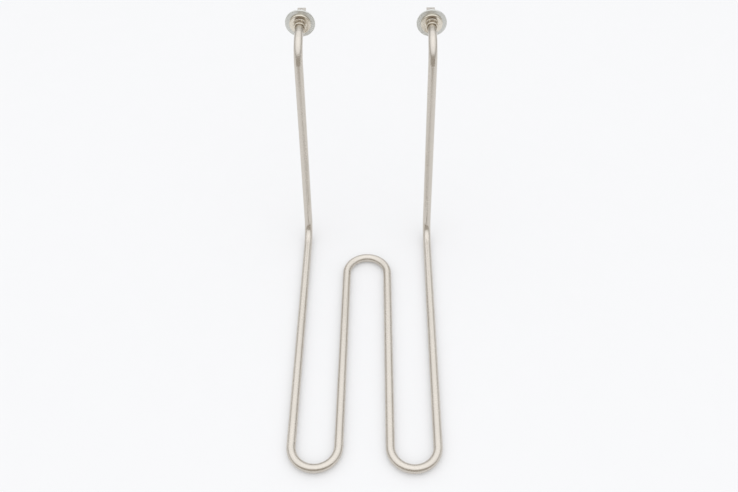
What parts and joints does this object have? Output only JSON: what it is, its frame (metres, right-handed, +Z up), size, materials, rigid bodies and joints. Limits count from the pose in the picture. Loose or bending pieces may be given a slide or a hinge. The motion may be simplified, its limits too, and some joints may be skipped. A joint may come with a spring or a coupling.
{
  "type": "tubular heating element",
  "caption": "Bent tubular heater: a flat serpentine with two long side loops and a shorter middle loop, two risers, and two flange fittings with washers, nuts and flat terminals.",
  "frame": {"origin": "on the surface that the element rests on, under the middle of its overall length and width", "axes": "+X runs across the element to its right fitting, +Y from the front of the serpentine towards the fittings, +Z up along the risers"},
  "size_m": [0.1193, 0.2887, 0.1921],
  "materials": {
    "stainless_tube": "satin",
    "nickel_plated_bush": "polished",
    "zinc_plated_steel": "satin",
    "fibre_gasket": "matte",
    "magnesia": "matte",
    "resistance_wire": "satin",
    "nickel_steel_pin": "satin",
    "silicone_seal": "matte",
    "steatite": "matte",
    "tinned_tab": "satin"
  },
  "bodies": {
    "root": {"sheath": "stainless_tube", "magnesia_filling": "magnesia", "resistance_coil": "resistance_wire", "cold_pin_left": "nickel_steel_pin", "flange_bush_left": "nickel_plated_bush", "face_washer_left": "zinc_plated_steel", "sealing_gasket_left": "fibre_gasket", "backing_washer_left": "zinc_plated_steel", "fixing_nut_left": "zinc_plated_steel", "end_seal_left": "silicone_seal", "end_insulator_left": "steatite", "terminal_tab_left": "tinned_tab", "cold_pin_right": "nickel_steel_pin", "flange_bush_right": "nickel_plated_bush", "face_washer_right": "zinc_plated_steel", "sealing_gasket_right": "fibre_gasket", "backing_washer_right": "zinc_plated_steel", "fixing_nut_right": "zinc_plated_steel", "end_seal_right": "silicone_seal", "end_insulator_right": "steatite", "terminal_tab_right": "tinned_tab"}
  },
  "joints": []
}
